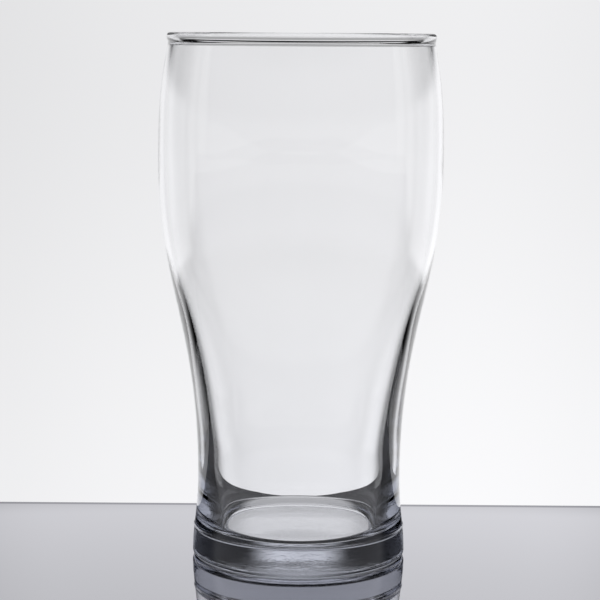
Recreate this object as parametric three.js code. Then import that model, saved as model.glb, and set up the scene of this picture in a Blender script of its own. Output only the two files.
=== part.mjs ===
// A tulip pint glass: one body of clear soda-lime glass, turned about +Z.
// Millimetres, +Z up. The origin is at the middle of the circle that the foot stands on.
import * as THREE from "three";

// Driving dimensions of the outside.
const HEIGHT = 159.7;
const FOOT_RADIUS = 32.7; // the widest ring of the foot, just above the table
const WAIST_RADIUS = 31.05; // the narrowest ring, above the foot
const WAIST_HEIGHT = 25.5;
const BELLY_RADIUS = 43; // the widest ring of the glass
const BELLY_HEIGHT = 121;
const NECK_TAPER = 0.18; // how far the wall leans in below the rim's bead, as a slope

// The rounded bead round the rim: a low crown above its widest ring and a longer drop below it.
const BEAD_RADIUS = 39.2; // the middle of the bead's section
const BEAD_HALF_WIDTH = 1.2;
const BEAD_CROWN = 1;
const BEAD_DROP = 2.2;
const NECK_ANGLE = -0.28 * Math.PI; // how far down the drop the wall joins it

// Driving dimensions of the inside.
const INNER_BELLY_RADIUS = 41.2;
const INNER_BELLY_HEIGHT = 126.5;
const WELL_RADIUS = 24.8; // the cavity's radius where it leaves the corner above the floor
const WELL_HEIGHT = 12;
const WELL_FLARE = 0.05; // how far the cavity opens there, as a slope
const FLOOR_HEIGHT = 8.9; // the thickness of the heavy base
const FLOOR_RADIUS = 22.4; // the flat part of the inside floor

// Driving dimensions of the underside.
const HEEL_RADIUS = 2; // the rounding between the foot's side and its underside
const BEARING_INNER_RADIUS = 27.4; // the flat ring that the glass stands on starts here
const PUSH_UP = 0.5; // the height of the shallow hollow inside that ring
const PUSH_UP_FLATNESS = 0.88; // how far out the top of that hollow stays level, as a share

// Each curve's handles, as shares of the height that the curve climbs.
const FOOT_HANDLES = { start: 0.3, end: 0.5 };
const FLANK_HANDLES = { start: 0.474, end: 0.389 };
const SHOULDER_HANDLES = { start: 0.5, end: 0.34 };
const INNER_FLANK_HANDLES = { start: 0.629, end: 0.473 };
const INNER_SHOULDER_HANDLES = { start: 0.4, end: 0.4 };

// Facets: steps round the glass, and steps along each stretch of its outline.
const STEPS_ROUND = 72;
const STEPS = {
  pushUp: 3, heel: 3, foot: 4, flank: 11, shoulder: 5, crown: 6, drop: 3, floorCorner: 3,
};

const GLASS = { color: 0xf3f6f8, roughness: 0.03, metalness: 0 };

// A ring of the outline: its radius, its height, and how fast the radius grows with the height.
function ring(radius, height, slope = 0) {
  return { radius, height, slope };
}

// The rising curve from a lower ring to an upper one, which it meets at their own slopes.
function rise(lower, upper, handles) {
  const climb = upper.height - lower.height;
  const leave = handles.start * climb;
  const arrive = handles.end * climb;
  return new THREE.CubicBezierCurve(
    new THREE.Vector2(lower.radius, lower.height),
    new THREE.Vector2(lower.radius + lower.slope * leave, lower.height + leave),
    new THREE.Vector2(upper.radius - upper.slope * arrive, upper.height - arrive),
    new THREE.Vector2(upper.radius, upper.height),
  );
}

// A quarter of an ellipse, or any other part of one, between two angles.
function arc(centre, radii, startAngle, endAngle) {
  const clockwise = endAngle < startAngle;
  return new THREE.EllipseCurve(
    centre.x, centre.y, radii.x, radii.y, startAngle, endAngle, clockwise,
  );
}

// The underside, from the axis out to the widest ring of the foot.
function underside() {
  const hollow = new THREE.QuadraticBezierCurve(
    new THREE.Vector2(0, PUSH_UP),
    new THREE.Vector2(BEARING_INNER_RADIUS * PUSH_UP_FLATNESS, PUSH_UP),
    new THREE.Vector2(BEARING_INNER_RADIUS, 0),
  );
  const heelCentre = new THREE.Vector2(FOOT_RADIUS - HEEL_RADIUS, HEEL_RADIUS);
  const heelRadii = new THREE.Vector2(HEEL_RADIUS, HEEL_RADIUS);
  const heel = arc(heelCentre, heelRadii, -Math.PI / 2, 0);
  return [
    ...hollow.getPoints(STEPS.pushUp),
    ...heel.getPoints(STEPS.heel),
  ];
}

// The ring where the wall runs into the bead, on the outside (side 1) or the inside (side -1).
function neck(side) {
  const radius = BEAD_RADIUS + side * BEAD_HALF_WIDTH * Math.cos(NECK_ANGLE);
  const height = HEIGHT - BEAD_CROWN + BEAD_DROP * Math.sin(NECK_ANGLE);
  return ring(radius, height, -NECK_TAPER);
}

// The outside wall, from the foot to the neck below the bead.
function outerWall() {
  const foot = ring(FOOT_RADIUS, HEEL_RADIUS);
  const waist = ring(WAIST_RADIUS, WAIST_HEIGHT);
  const belly = ring(BELLY_RADIUS, BELLY_HEIGHT);
  return [
    ...rise(foot, waist, FOOT_HANDLES).getPoints(STEPS.foot),
    ...rise(waist, belly, FLANK_HANDLES).getPoints(STEPS.flank),
    ...rise(belly, neck(1), SHOULDER_HANDLES).getPoints(STEPS.shoulder),
  ];
}

// The bead, from the outside neck up over the crown and down to the inside neck.
function bead() {
  const centre = new THREE.Vector2(BEAD_RADIUS, HEIGHT - BEAD_CROWN);
  const drop = new THREE.Vector2(BEAD_HALF_WIDTH, BEAD_DROP);
  const crown = new THREE.Vector2(BEAD_HALF_WIDTH, BEAD_CROWN);
  return [
    ...arc(centre, drop, NECK_ANGLE, 0).getPoints(STEPS.drop),
    ...arc(centre, crown, 0, Math.PI).getPoints(STEPS.crown),
    ...arc(centre, drop, Math.PI, Math.PI - NECK_ANGLE).getPoints(STEPS.drop),
  ];
}

// The cavity, from the inside neck down the wall, round the corner and in to the axis.
function cavity() {
  const belly = ring(INNER_BELLY_RADIUS, INNER_BELLY_HEIGHT);
  const well = ring(WELL_RADIUS, WELL_HEIGHT, WELL_FLARE);
  const cornerCentre = new THREE.Vector2(FLOOR_RADIUS, WELL_HEIGHT);
  const cornerRadii = new THREE.Vector2(WELL_RADIUS - FLOOR_RADIUS, WELL_HEIGHT - FLOOR_HEIGHT);
  return [
    ...rise(belly, neck(-1), INNER_SHOULDER_HANDLES).getPoints(STEPS.shoulder).reverse(),
    ...rise(well, belly, INNER_FLANK_HANDLES).getPoints(STEPS.flank).reverse(),
    ...arc(cornerCentre, cornerRadii, 0, -Math.PI / 2).getPoints(STEPS.floorCorner),
    new THREE.Vector2(0, FLOOR_HEIGHT),
  ];
}

// The closed outline, starting and ending on the axis, with each joint's doubled point kept once.
function outline() {
  const points = [
    ...underside(),
    ...outerWall(),
    ...bead(),
    ...cavity(),
  ];
  const closest = 1e-6;
  return points.filter((point, i) => i === 0 || point.distanceTo(points[i - 1]) > closest);
}

function glassBody() {
  const geometry = new THREE.LatheGeometry(outline(), STEPS_ROUND);
  geometry.rotateX(Math.PI / 2);
  const mesh = new THREE.Mesh(geometry, new THREE.MeshStandardMaterial(GLASS));
  mesh.name = "glass_body";
  return mesh;
}

const pintGlass = new THREE.Group();
pintGlass.add(glassBody());

export default pintGlass;
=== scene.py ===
import math
from collections import namedtuple
from functools import reduce

import bpy
import numpy as np
from mathutils import Matrix, Vector


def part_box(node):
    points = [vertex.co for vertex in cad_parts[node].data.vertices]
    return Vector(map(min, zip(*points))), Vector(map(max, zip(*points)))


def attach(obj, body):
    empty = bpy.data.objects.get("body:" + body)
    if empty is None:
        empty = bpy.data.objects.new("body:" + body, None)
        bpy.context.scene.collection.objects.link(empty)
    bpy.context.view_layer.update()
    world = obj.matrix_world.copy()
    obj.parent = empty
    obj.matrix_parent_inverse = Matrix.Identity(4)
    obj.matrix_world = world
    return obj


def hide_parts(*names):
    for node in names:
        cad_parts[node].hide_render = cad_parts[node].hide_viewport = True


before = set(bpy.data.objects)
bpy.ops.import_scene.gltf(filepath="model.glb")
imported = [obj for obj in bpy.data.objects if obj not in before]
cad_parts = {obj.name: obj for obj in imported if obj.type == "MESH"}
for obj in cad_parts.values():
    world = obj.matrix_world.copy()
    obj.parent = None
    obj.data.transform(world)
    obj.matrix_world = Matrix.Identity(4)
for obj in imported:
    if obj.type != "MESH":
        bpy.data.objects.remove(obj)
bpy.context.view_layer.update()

# A tulip pint glass on a glossy table, in front of a lit backdrop.
# Metres, +Z up. The glass stands on z = 0 with its axis on +Z, and the camera looks along +Y.

MM = 0.001
NODE = "glass_body"
BODY = "root"

# Sizes that the frame gives.
BOTTOM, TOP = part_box(NODE)
HEIGHT = TOP.z - BOTTOM.z
BELLY_RADIUS = (TOP.x - BOTTOM.x) / 2

# The outside of the glass.
BELLY_HEIGHT = 121 * MM
NECK_TAPER = 0.18  # how far the wall leans in below the bead, as a slope
WAIST_RADIUS = 31.05 * MM
WAIST_HEIGHT = 25.5 * MM
FOOT_RADIUS = 32.7 * MM
HEEL_RADIUS = 2 * MM

# The rounded bead round the rim: the middle of its section, half its width there, and how far
# it reaches above that middle and below it. The wall joins it part of the way down.
BEAD_RADIUS = 39.2 * MM
BEAD_HALF_WIDTH = 1.2 * MM
BEAD_CROWN = 1.0 * MM
BEAD_DROP = 2.2 * MM
NECK_ANGLE = -0.28 * math.pi

# The inside of the glass.
INNER_BELLY_RADIUS = 41.2 * MM
INNER_BELLY_HEIGHT = 126.5 * MM
WELL_RADIUS = 24.8 * MM  # where the wall leaves the rounded corner above the floor
WELL_HEIGHT = 12 * MM
WELL_FLARE = 0.05
FLOOR_HEIGHT = 8.9 * MM
FLOOR_RADIUS = 22.4 * MM

# The underside: a flat bearing ring round a shallow hollow, which is level in the middle.
BEARING_INNER_RADIUS = 27.4 * MM
PUSH_UP = 0.5 * MM
PUSH_UP_FLATNESS = 0.88

# Each curve's handles, as shares of the height that the curve climbs.
FOOT_HANDLES = (0.3, 0.5)
FLANK_HANDLES = (0.474, 0.389)
SHOULDER_HANDLES = (0.5, 0.34)
INNER_FLANK_HANDLES = (0.629, 0.473)
INNER_SHOULDER_HANDLES = (0.4, 0.4)

# How finely the glass is drawn: steps round it, and points along its outline.
STEPS_ROUND = 176
WALL_SPACING = 1.0 * MM
FOOT_SPACING = 0.25 * MM
ARC_SPACING = 0.12 * MM
HOLLOW_TOP_POINTS = 40
HOLLOW_SIDE_POINTS = 24
FLOOR_POINTS = 24
CLOSEST = 1e-7

# How the cavity wanders from a true circle: a little way above the floor it leans to one side,
# and is narrower from front to back than from side to side. The powers say how closely the
# lean keeps to the two sides, and how little of the narrowing reaches them.
DRIFT = -0.12 * MM
DRIFT_HEIGHT = 40 * MM
DRIFT_SPREAD = 13 * MM
DRIFT_POWER = 3
PINCH = -0.5 * MM
PINCH_HEIGHT = 31 * MM
PINCH_SPREAD = 7 * MM
PINCH_POWER = 4

# The faint ring that the mould's seam leaves round the foot.
SEAM_HEIGHT = 9.5 * MM
SEAM_WIDTH = 0.3 * MM
SEAM_RELIEF = 0.2 * MM

# The glass's faint colour, which deepens with its thickness, and the ripples in its skin.
GLASS_TINT = (0.40, 0.45, 0.60, 1)
GLASS_DENSITY = 12.0
GLASS_IOR = 1.52
RIPPLE_RELIEF = 0.012 * MM
RIPPLE_SCALE = 60.0

# The crinkled, slightly dull skin under the base, which fades out as the heel rises.
CRINKLE_RELIEF = 0.06 * MM
CRINKLE_SCALE = 260.0
CRINKLE_DULLNESS = 0.03
CRINKLE_ENDS = 1.2 * MM
CRINKLE_FULL = 0.6 * MM

# The camera.
CAMERA_DISTANCE = 590.7 * MM
CAMERA_ELEVATION = math.radians(7.97)
CAMERA_ROLL = math.radians(0.4)
CAMERA_LENS = 116.2
CAMERA_AIM = Vector((0, 0, 79 * MM))
CAMERA_CLIP_START = 0.01
CAMERA_CLIP_END = 20

# The table: a slab that ends behind the glass, with a darker strip along that edge. Its top
# lies a hair below the bearing ring. Seen at a slant it is a mirror, and from above it is matte.
TABLE_SIZE = 3.0
TABLE_THICKNESS = 12 * MM
TABLE_GAP = 0.02 * MM
TABLE_FAR_EDGE = 61.5 * MM
STRIP_WIDTH = 2.6 * MM
STRIP_SOFTNESS = 0.2
MIRROR_COLOUR = (0.69, 0.69, 0.72, 1)
STRIP_COLOUR = (0.42, 0.42, 0.45, 1)
MATTE_COLOUR = (0.3, 0.3, 0.31, 1)
MIRROR_STARTS = 0.58
MIRROR_FULL = 0.72

# Painted light on the table: a glowing round patch under the glass, and a dimmer glowing oval beyond
# it, which stand in for light falling there.
UNDER_MIDDLE = (0, 7 * MM, 0)
UNDER_RADII = (25.5 * MM, 25.5 * MM, 1)
UNDER_CORE = 0.95  # the share of each radius that is fully lit
UNDER_PAINTED_GLOW = 0.78
BEYOND_MIDDLE = (0, 24 * MM, 0)
BEYOND_RADII = (25 * MM, 38 * MM, 1)
BEYOND_CORE = 0.75
BEYOND_PAINTED_GLOW = 0.5
PAINTED_GLOW_COLOUR = (0.97, 0.97, 1, 1)

# The surroundings are patches of light, by direction in degrees: how far aside of straight
# ahead, and how far up. Each range is its low end, its high end and the width of its soft
# edges, and None leaves an end open.
Patch = namedtuple("Patch", "aside up strength", defaults=[1.0])
AHEAD = Patch((None, 22, 12), (None, 3, 3))
SIDES = Patch((None, 75, 10), (-17, 3, 3))
BACK = Patch((75, None, 10), (-40, 3, 3))
HIGH_BACK = Patch((77.5, None, 15), (-40, 28, 4), 0.75)
OVERHEAD = Patch((None, 30, 16), (30, 70, 6))
BASE_GLOW = Patch((None, 14, 24), (0, 14, 2), 0.45)
BACKDROP = [AHEAD, SIDES, BACK, HIGH_BACK, OVERHEAD, BASE_GLOW]

# The narrow light that the table mirrors, brighter at its foot.
TABLE_LIGHT = Patch((None, 14, 14), (13.5, 17.5, 1.5))
TABLE_LIGHT_RANGE = (13, 17)
TABLE_LIGHT_FADE = (1.09, 0.90)

# What is added to the backdrop just behind the glass, and to either side of that.
SPOT = Patch((None, 8.5, 9), (None, 3, 4), 0.08)
WINGS = Patch((11, 32, 5), (-22, 2, 4), 0.2)

# All of it dims towards eye level and towards the left, and no direction is quite black.
LEVEL_RANGE = (0, 16)
LEVEL_FADE = (0.80, 0.90)
ACROSS_RANGE = (-0.16, 0.16)
ACROSS_FADE = (0.94, 1.02)
DARKEST = 0.004
WORLD_COLOUR = (0.985, 0.985, 1.0, 1)

LIGHT_BOUNCES = 32
GLOSSY_BOUNCES = 16


def hump(height, middle, spread):
    """A smooth hump, 1 at the middle height."""
    return np.exp(-((height - middle) / spread) ** 2)


def curve(lower, upper, handles, lower_slope=0.0, upper_slope=0.0, spacing=WALL_SPACING):
    """Points (radius, height) up the curve between two rings, which it meets at those slopes."""
    climb = upper[1] - lower[1]
    leave, arrive = handles[0] * climb, handles[1] * climb
    corners = np.array([
        lower,
        (lower[0] + lower_slope * leave, lower[1] + leave),
        (upper[0] - upper_slope * arrive, upper[1] - arrive),
        upper,
    ])
    t = np.linspace(0, 1, max(3, round(climb / spacing) + 1))[:, None]
    weights = np.hstack([(1 - t) ** 3, 3 * t * (1 - t) ** 2, 3 * t * t * (1 - t), t ** 3])
    return weights @ corners


def arc(centre, radii, start, end):
    """Points along a part of an ellipse, between two angles."""
    count = max(4, round(max(radii) * abs(end - start) / ARC_SPACING))
    angles = np.linspace(start, end, count + 1)
    return np.stack([
        centre[0] + radii[0] * np.cos(angles),
        centre[1] + radii[1] * np.sin(angles),
    ], axis=1)


def level(start, end, height, count):
    """Points along a level line, from one radius to another."""
    return np.stack([np.linspace(start, end, count), np.full(count, height)], axis=1)


def hollow():
    """The shallow hollow under the base, from the axis out to the bearing ring."""
    flat = BEARING_INNER_RADIUS * PUSH_UP_FLATNESS
    t = np.linspace(0, 1, HOLLOW_SIDE_POINTS)
    ease = t * t * (3 - 2 * t)
    side = np.stack([flat + (BEARING_INNER_RADIUS - flat) * t, PUSH_UP * (1 - ease)], axis=1)
    return np.vstack([level(0, flat, PUSH_UP, HOLLOW_TOP_POINTS), side])


def neck(side):
    """Where the wall runs into the bead, on the outside (side 1) or the inside (side -1)."""
    radius = BEAD_RADIUS + side * (BEAD_HALF_WIDTH * math.cos(NECK_ANGLE))
    return radius, HEIGHT - BEAD_CROWN + BEAD_DROP * math.sin(NECK_ANGLE)


def outside():
    """The outline from under the axis, up the outer wall and over the bead to the inside neck."""
    foot = (FOOT_RADIUS, HEEL_RADIUS)
    waist = (WAIST_RADIUS, WAIST_HEIGHT)
    belly = (BELLY_RADIUS, BELLY_HEIGHT)
    heel = (FOOT_RADIUS - HEEL_RADIUS, HEEL_RADIUS)
    bead = (BEAD_RADIUS, HEIGHT - BEAD_CROWN)
    crown = (BEAD_HALF_WIDTH, BEAD_CROWN)
    drop = (BEAD_HALF_WIDTH, BEAD_DROP)
    return np.vstack([
        hollow(),
        arc(heel, (HEEL_RADIUS, HEEL_RADIUS), -math.pi / 2, 0),
        curve(foot, waist, FOOT_HANDLES, spacing=FOOT_SPACING),
        curve(waist, belly, FLANK_HANDLES),
        curve(belly, neck(1), SHOULDER_HANDLES, upper_slope=-NECK_TAPER),
        arc(bead, drop, NECK_ANGLE, 0),
        arc(bead, crown, 0, math.pi),
        arc(bead, drop, math.pi, math.pi - NECK_ANGLE),
    ])


def cavity():
    """The outline from the inside neck down the inner wall and in to the floor's middle."""
    belly = (INNER_BELLY_RADIUS, INNER_BELLY_HEIGHT)
    well = (WELL_RADIUS, WELL_HEIGHT)
    corner = (FLOOR_RADIUS, WELL_HEIGHT)
    corner_radii = (WELL_RADIUS - FLOOR_RADIUS, WELL_HEIGHT - FLOOR_HEIGHT)
    return np.vstack([
        curve(belly, neck(-1), INNER_SHOULDER_HANDLES, upper_slope=-NECK_TAPER)[::-1],
        curve(well, belly, INNER_FLANK_HANDLES, lower_slope=WELL_FLARE)[::-1],
        arc(corner, corner_radii, 0, -math.pi / 2),
        level(FLOOR_RADIUS, 0, FLOOR_HEIGHT, FLOOR_POINTS),
    ])


def outline():
    """The whole outline (radius, height), and for each point 1 if it is on the cavity, else 0."""
    outer, inner = outside(), cavity()
    points = np.vstack([outer, inner])
    on_cavity = np.r_[np.zeros(len(outer)), np.ones(len(inner))]
    apart = np.r_[True, np.linalg.norm(np.diff(points, axis=0), axis=1) > CLOSEST]
    return points[apart], on_cavity[apart]


def glass_points(points, on_cavity):
    """Every ring's vertices, with the cavity's wander and the foot's seam added."""
    angles = np.linspace(0, 2 * math.pi, STEPS_ROUND, endpoint=False)
    radius, height = points[:, 0, None], points[:, 1, None]
    on_cavity = on_cavity[:, None]
    sideways = np.abs(np.cos(angles))
    pinch = PINCH * hump(height, PINCH_HEIGHT, PINCH_SPREAD)
    pinch = on_cavity * pinch * (1 - sideways ** PINCH_POWER)
    on_foot = (1 - on_cavity) * (radius > WAIST_RADIUS)
    seam = on_foot * SEAM_RELIEF * hump(height, SEAM_HEIGHT, SEAM_WIDTH)
    radius = radius + pinch + seam
    drift = DRIFT * hump(height, DRIFT_HEIGHT, DRIFT_SPREAD) * on_cavity
    x = radius * np.cos(angles) + drift * sideways ** DRIFT_POWER
    y = radius * np.sin(angles)
    z = height + 0 * angles
    return np.stack([x, y, z], axis=2)


def glass_mesh():
    """The whole glass as one closed, smooth-shaded surface: a ring of vertices for each point
    of the outline, and a fan of triangles at each end, on the axis."""
    points, on_cavity = outline()
    rings = glass_points(points, on_cavity)
    count = len(points)
    body = rings[1:-1].reshape(-1, 3)
    vertices = np.vstack([body, rings[0, :1], rings[-1, :1]])
    first, last = len(body), len(body) + 1
    index = np.arange((count - 2) * STEPS_ROUND).reshape(count - 2, STEPS_ROUND)
    after = np.roll(index, -1, axis=1)
    faces = [
        face for a, b, c, d in zip(index[:-1], after[:-1], after[1:], index[1:])
        for face in zip(a.tolist(), b.tolist(), c.tolist(), d.tolist())
    ]
    faces += [(first, b, a) for a, b in zip(index[0].tolist(), after[0].tolist())]
    faces += [(last, a, b) for a, b in zip(index[-1].tolist(), after[-1].tolist())]
    mesh = bpy.data.meshes.new("glass_body_blown")
    mesh.from_pydata(vertices.tolist(), [], faces)
    mesh.validate()
    mesh.shade_smooth()
    return mesh


def new_material(name):
    """An empty node material and its tree."""
    material = bpy.data.materials.new(name)
    material.use_nodes = True
    tree = material.node_tree
    tree.nodes.clear()
    return material, tree


def node(tree, kind, inputs=None, **settings):
    """A new node with its settings, its input values and its links."""
    made = tree.nodes.new(kind)
    for key, value in settings.items():
        setattr(made, key, value)
    for key, value in (inputs or {}).items():
        if isinstance(value, bpy.types.NodeSocket):
            tree.links.new(value, made.inputs[key])
        else:
            made.inputs[key].default_value = value
    return made


def maths(tree, operation, first, second=0.0):
    """The result of one sum on one or two values."""
    return node(tree, "ShaderNodeMath", {0: first, 1: second}, operation=operation).outputs[0]


def combine(tree, operation, values):
    """All the values taken together by one kind of sum."""
    return reduce(lambda so_far, value: maths(tree, operation, so_far, value), values)


def step(tree, value, low, high, to_low=0.0, to_high=1.0):
    """A smooth step of value from low to high."""
    return node(tree, "ShaderNodeMapRange", {
        "Value": value, "From Min": low, "From Max": high, "To Min": to_low, "To Max": to_high,
    }, interpolation_type="SMOOTHSTEP").outputs["Result"]


def scaled(tree, value, to_low, to_high):
    """A value from 0 to 1, taken to another range in proportion."""
    return node(tree, "ShaderNodeMapRange", {
        "Value": value, "To Min": to_low, "To Max": to_high,
    }).outputs["Result"]


def glass_material():
    """Clear glass with a faint blue-grey body, fine ripples in its skin and a crinkled underside."""
    material, tree = new_material("clear_glass")
    place = node(tree, "ShaderNodeTexCoord").outputs["Object"]
    height = node(tree, "ShaderNodeSeparateXYZ", {0: place}).outputs[2]
    ripples = node(tree, "ShaderNodeTexNoise", {
        "Vector": place, "Scale": RIPPLE_SCALE, "Detail": 1.0,
    }).outputs[0]
    crinkles = node(tree, "ShaderNodeTexNoise", {
        "Vector": place, "Scale": CRINKLE_SCALE, "Detail": 3.0, "Roughness": 0.6,
    }).outputs[0]
    under = step(tree, height, CRINKLE_ENDS, CRINKLE_FULL)
    relief = maths(
        tree, "ADD",
        combine(tree, "MULTIPLY", [crinkles, under, CRINKLE_RELIEF]),
        maths(tree, "MULTIPLY", ripples, RIPPLE_RELIEF),
    )
    skin = node(tree, "ShaderNodeBump", {"Height": relief, "Distance": 1.0, "Strength": 1.0})
    dullness = scaled(tree, crinkles, 0.0, CRINKLE_DULLNESS)
    surface = node(tree, "ShaderNodeBsdfPrincipled", {
        "Base Color": (1, 1, 1, 1),
        "Roughness": maths(tree, "MULTIPLY", dullness, under),
        "IOR": GLASS_IOR,
        "Transmission Weight": 1.0,
        "Normal": skin.outputs[0],
    })
    body = node(tree, "ShaderNodeVolumeAbsorption", {
        "Color": GLASS_TINT, "Density": GLASS_DENSITY,
    })
    node(tree, "ShaderNodeOutputMaterial", {
        "Surface": surface.outputs[0], "Volume": body.outputs[0],
    })
    return material


def build_glass():
    """The glass, which stands for the plain CAD solid."""
    glass = bpy.data.objects.new("glass_body_blown", glass_mesh())
    bpy.context.scene.collection.objects.link(glass)
    glass.data.materials.append(glass_material())
    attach(glass, BODY)
    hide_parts(NODE)
    return glass


def oval(tree, place, middle, radii, core):
    """1 in the core of an oval on the table, fading to 0 at its edge."""
    shifted = node(tree, "ShaderNodeVectorMath", {0: place, 1: middle}, operation="SUBTRACT")
    share = node(tree, "ShaderNodeVectorMath", {0: shifted.outputs[0], 1: radii},
                 operation="DIVIDE")
    away = node(tree, "ShaderNodeVectorMath", {0: share.outputs[0]}, operation="LENGTH")
    return step(tree, away.outputs["Value"], 1.0, core)


def table_mirror(tree, place):
    """The polished top, darker in the strip along its far edge."""
    back = node(tree, "ShaderNodeSeparateXYZ", {0: place}).outputs[1]
    strip_starts = TABLE_FAR_EDGE - STRIP_WIDTH * (1 + STRIP_SOFTNESS)
    strip_full = TABLE_FAR_EDGE - STRIP_WIDTH * (1 - STRIP_SOFTNESS)
    strip = step(tree, back, strip_starts, strip_full)
    tone = node(tree, "ShaderNodeMix", {0: strip, 6: MIRROR_COLOUR, 7: STRIP_COLOUR},
                data_type="RGBA").outputs[2]
    return node(tree, "ShaderNodeBsdfGlossy", {"Color": tone, "Roughness": 0.0}).outputs[0]


def table_material():
    """A grey polished table, with painted light glowing on it under the glass and just beyond it."""
    material, tree = new_material("glossy_table")
    place = node(tree, "ShaderNodeTexCoord").outputs["Object"]
    under = oval(tree, place, UNDER_MIDDLE, UNDER_RADII, UNDER_CORE)
    beyond = oval(tree, place, BEYOND_MIDDLE, BEYOND_RADII, BEYOND_CORE)
    unlit = maths(tree, "SUBTRACT", 1.0, maths(tree, "MAXIMUM", under, beyond))
    # Painted light: an emission glow on the table under the glass and beyond it, in place of light
    # falling there.
    painted_glow = node(tree, "ShaderNodeEmission", {
        "Color": PAINTED_GLOW_COLOUR, "Strength": scaled(tree, under, BEYOND_PAINTED_GLOW, UNDER_PAINTED_GLOW),
    })
    matte = node(tree, "ShaderNodeBsdfDiffuse", {"Color": MATTE_COLOUR})
    plain = node(tree, "ShaderNodeMixShader", {
        0: unlit, 1: painted_glow.outputs[0], 2: matte.outputs[0],
    })
    facing = node(tree, "ShaderNodeLayerWeight", {"Blend": 0.5}).outputs["Facing"]
    polish = maths(tree, "MULTIPLY", step(tree, facing, MIRROR_STARTS, MIRROR_FULL), unlit)
    whole = node(tree, "ShaderNodeMixShader", {
        0: polish, 1: plain.outputs[0], 2: table_mirror(tree, place),
    })
    node(tree, "ShaderNodeOutputMaterial", {"Surface": whole.outputs[0]})
    return material


def build_table():
    """The table, a slab whose far edge shows behind the glass."""
    half = TABLE_SIZE / 2
    near, far = -TABLE_SIZE, TABLE_FAR_EDGE
    corners = [(-half, near), (half, near), (half, far), (-half, far)]
    vertices = [(x, y, z) for z in (-TABLE_THICKNESS, -TABLE_GAP) for x, y in corners]
    sides = [(i, (i + 1) % 4, (i + 1) % 4 + 4, i + 4) for i in range(4)]
    mesh = bpy.data.meshes.new("table")
    mesh.from_pydata(vertices, [], [(3, 2, 1, 0), (4, 5, 6, 7), *sides])
    table = bpy.data.objects.new("table", mesh)
    bpy.context.scene.collection.objects.link(table)
    mesh.materials.append(table_material())
    return table


def between(tree, angle, low, high, soft):
    """1 where an angle is between two others, with soft edges. None leaves that end open."""
    ends = []
    if low is not None:
        ends.append(step(tree, angle, low - soft / 2, low + soft / 2))
    if high is not None:
        ends.append(step(tree, angle, high + soft / 2, high - soft / 2))
    return combine(tree, "MULTIPLY", ends)


def brightness(tree):
    """How bright the surroundings are in each direction."""
    direction = node(tree, "ShaderNodeTexCoord").outputs["Generated"]
    across, ahead, up = node(tree, "ShaderNodeSeparateXYZ", {0: direction}).outputs
    azimuth = maths(tree, "ARCTAN2", across, ahead)
    aside = maths(tree, "DEGREES", maths(tree, "ABSOLUTE", azimuth))
    rise = maths(tree, "DEGREES", maths(tree, "ARCSINE", up))

    def light(patch):
        return combine(tree, "MULTIPLY", [
            between(tree, aside, *patch.aside), between(tree, rise, *patch.up), patch.strength,
        ])

    fade = step(tree, rise, *TABLE_LIGHT_RANGE, *TABLE_LIGHT_FADE)
    table_light = maths(tree, "MULTIPLY", light(TABLE_LIGHT), fade)
    brightest = combine(tree, "MAXIMUM", [table_light, *map(light, BACKDROP)])
    total = combine(tree, "ADD", [brightest, light(SPOT), light(WINGS)])
    level_fade = step(tree, maths(tree, "ABSOLUTE", rise), *LEVEL_RANGE, *LEVEL_FADE)
    across_fade = step(tree, across, *ACROSS_RANGE, *ACROSS_FADE)
    return maths(tree, "ADD", combine(tree, "MULTIPLY", [total, across_fade, level_fade]), DARKEST)


def build_world():
    """The surroundings: a backdrop up to eye level all round, and a few patches in the dark above."""
    world = bpy.data.worlds.new("studio")
    world.use_nodes = True
    tree = world.node_tree
    tree.nodes.clear()
    background = node(tree, "ShaderNodeBackground", {
        "Color": WORLD_COLOUR, "Strength": brightness(tree),
    })
    node(tree, "ShaderNodeOutputWorld", {"Surface": background.outputs[0]})
    bpy.context.scene.world = world


def build_camera():
    """The camera, with its eye level with the rim, looking a little down at the glass."""
    camera = bpy.data.objects.new("camera", bpy.data.cameras.new("camera"))
    bpy.context.scene.collection.objects.link(camera)
    bpy.context.scene.camera = camera
    camera.data.lens = CAMERA_LENS
    camera.data.clip_start = CAMERA_CLIP_START
    camera.data.clip_end = CAMERA_CLIP_END
    back = Vector((0, -math.cos(CAMERA_ELEVATION), math.sin(CAMERA_ELEVATION)))
    camera.location = CAMERA_AIM + back * CAMERA_DISTANCE
    turn = (-back).to_track_quat("-Z", "Y").to_matrix() @ Matrix.Rotation(CAMERA_ROLL, 3, "Z")
    camera.rotation_euler = turn.to_euler()
    return camera


build_glass()
build_table()
build_world()
build_camera()
bpy.context.scene.view_settings.view_transform = "Standard"
bpy.context.scene.cycles.max_bounces = LIGHT_BOUNCES
bpy.context.scene.cycles.transmission_bounces = LIGHT_BOUNCES
bpy.context.scene.cycles.glossy_bounces = GLOSSY_BOUNCES
